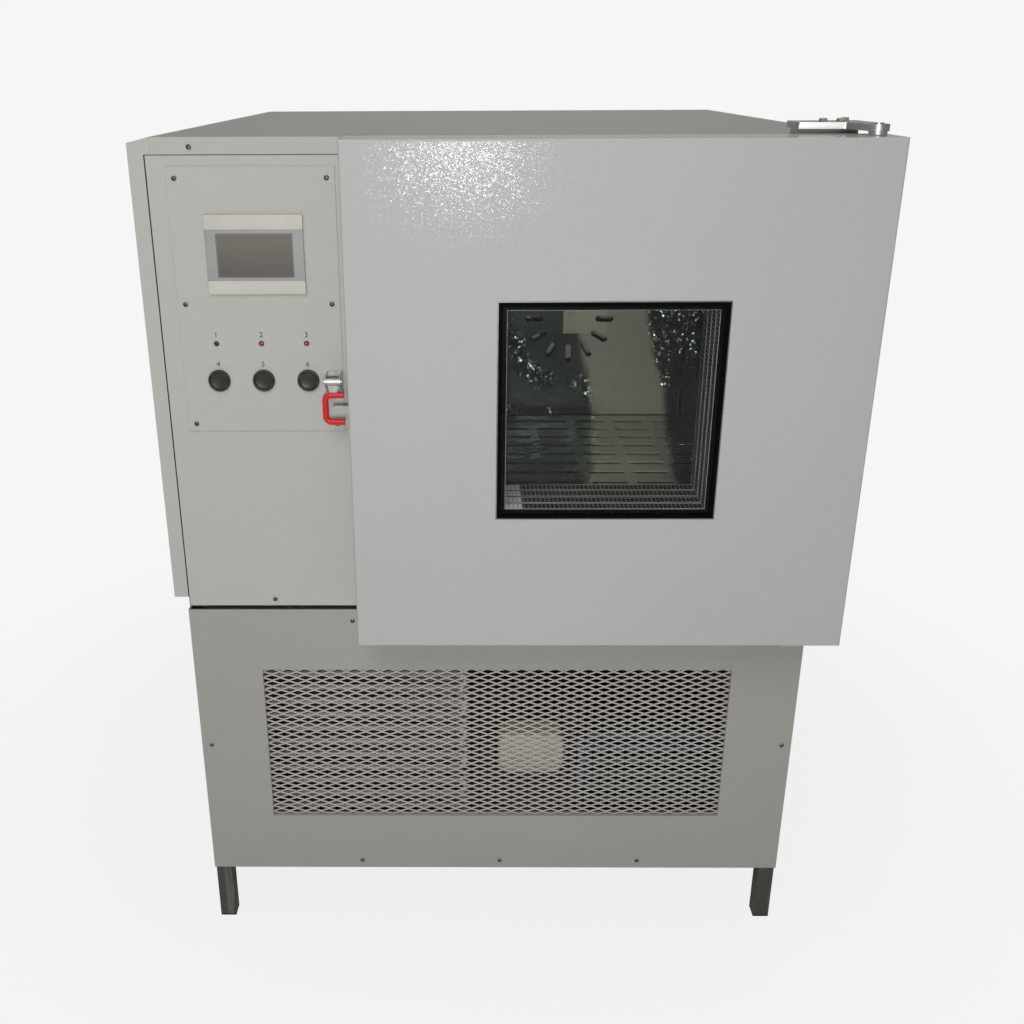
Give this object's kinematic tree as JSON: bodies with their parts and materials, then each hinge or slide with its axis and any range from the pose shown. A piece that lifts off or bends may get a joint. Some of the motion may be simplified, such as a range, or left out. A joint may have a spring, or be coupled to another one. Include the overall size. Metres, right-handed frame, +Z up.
{
  "type": "environmental test chamber",
  "caption": "Free-standing temperature test chamber with a glazed hinged door, a control panel, a latch, a shelf and a refrigeration base behind an expanded-metal grille.",
  "frame": {"origin": "on the floor, under the middle of the object's bounding box", "axes": "+Z up, +X to the right of the front, the door faces -Y"},
  "size_m": [0.946, 1.044, 1.2432],
  "materials": {
    "frame_paint": "dark primer",
    "panel_paint": "hammered grey powder coat",
    "plate_paint": "smooth grey enamel",
    "galvanised": "galvanised sheet",
    "expanded_metal": "painted expanded metal",
    "fins": "mill-finish fins",
    "stainless": "satin stainless",
    "spacer_metal": "bright rolled aluminium",
    "pane_glass": "clear float glass",
    "lamp_glass": "opal glass",
    "black_rubber": "matte",
    "black_plastic": "moulded",
    "black_trim": "satin black",
    "cream_plastic": "fine textured",
    "screen": "anti-glare film",
    "red_lens": "clear red",
    "red_grip": "dipped vinyl",
    "plated_steel": "zinc plated",
    "black_paint": "stoved black",
    "foam": "rigid foam board",
    "cast_aluminium": "as cast",
    "gear_plastic": "moulded"
  },
  "bodies": {
    "cabinet": {"base_frame": "frame_paint", "foot_plugs": "black_rubber", "base_front_panel": "panel_paint", "base_grille": "expanded_metal", "base_side_panels": "panel_paint", "base_rear_panel": "panel_paint", "power_cable_gland": "black_plastic", "base_tray": "galvanised", "compressor_low_stage": "black_paint", "compressor_high_stage": "black_paint", "terminal_box": "cream_plastic", "condenser_left": "fins", "condenser_right": "fins", "condenser_fan_shroud": "galvanised", "condenser_fan_motor": "black_paint", "joint_strips": "black_rubber", "cabinet_floor": "panel_paint", "upper_frame": "frame_paint", "chamber_liner": "stainless", "chamber_insulation": "foam", "chamber_front_frame": "panel_paint", "rear_baffle": "stainless", "evaporator_coil": "fins", "heater_elements": "stainless", "circulation_motor": "black_paint", "shelf_rails": "stainless", "shelf": "stainless", "chamber_lamp": "lamp_glass", "left_side_cover": "panel_paint", "right_side_cover": "panel_paint", "top_cover": "panel_paint", "rear_upper_panel": "panel_paint", "front_panel": "panel_paint", "control_plate": "plate_paint", "display_housing": "cream_plastic", "display_screen": "screen", "indicator_lamps": "red_lens", "button_bodies": "black_plastic", "gear_plate": "galvanised", "control_gear": "gear_plastic", "hinge_brackets": "plated_steel", "latch_base": "plated_steel", "screws_and_bolts": "plated_steel"},
    "door": {"door_shell": "panel_paint", "door_core": "foam", "door_inner_pan": "stainless", "door_gasket": "black_rubber", "window_sleeve": "stainless", "window_trims": "black_trim", "window_panes": "pane_glass", "window_spacers": "spacer_metal", "hinge_pins": "plated_steel", "latch_keeper": "plated_steel"},
    "condenser_fan": {"condenser_fan": "black_paint"},
    "circulation_fan": {"circulation_fan": "cast_aluminium"},
    "latch": {"latch_lever": "plated_steel", "latch_grip": "red_grip"},
    "button_left": {"button_1": "black_plastic"},
    "button_middle": {"button_2": "black_plastic"},
    "button_right": {"button_3": "black_plastic"}
  },
  "joints": [
    {"name": "door_hinge", "type": "hinge", "parent": "cabinet", "child": "door", "pos_m": [0.449, -0.478, 0.891], "axis": [0, 0, 1], "range_deg": [0, 120]},
    {"name": "latch_lever_pivot", "type": "hinge", "parent": "cabinet", "child": "latch", "pos_m": [-0.223, -0.4595, 0.918], "axis": [-1, 0, 0], "range_deg": [0, 100]},
    {"name": "condenser_fan_spin", "type": "hinge", "parent": "cabinet", "child": "condenser_fan", "pos_m": [-0.232, -0.2, 0.32], "axis": [0, 1, 0], "continuous": true},
    {"name": "circulation_fan_spin", "type": "hinge", "parent": "cabinet", "child": "circulation_fan", "pos_m": [0.138, 0.2, 0.891], "axis": [0, 1, 0], "continuous": true},
    {"name": "button_left_press", "type": "slide", "parent": "cabinet", "child": "button_left", "axis": [0, 1, 0], "range_m": [0, 0.003], "stiffness_N_per_m": 400, "springref_m": -0.002},
    {"name": "button_middle_press", "type": "slide", "parent": "cabinet", "child": "button_middle", "axis": [0, 1, 0], "range_m": [0, 0.003], "stiffness_N_per_m": 400, "springref_m": -0.002},
    {"name": "button_right_press", "type": "slide", "parent": "cabinet", "child": "button_right", "axis": [0, 1, 0], "range_m": [0, 0.003], "stiffness_N_per_m": 400, "springref_m": -0.002}
  ]
}
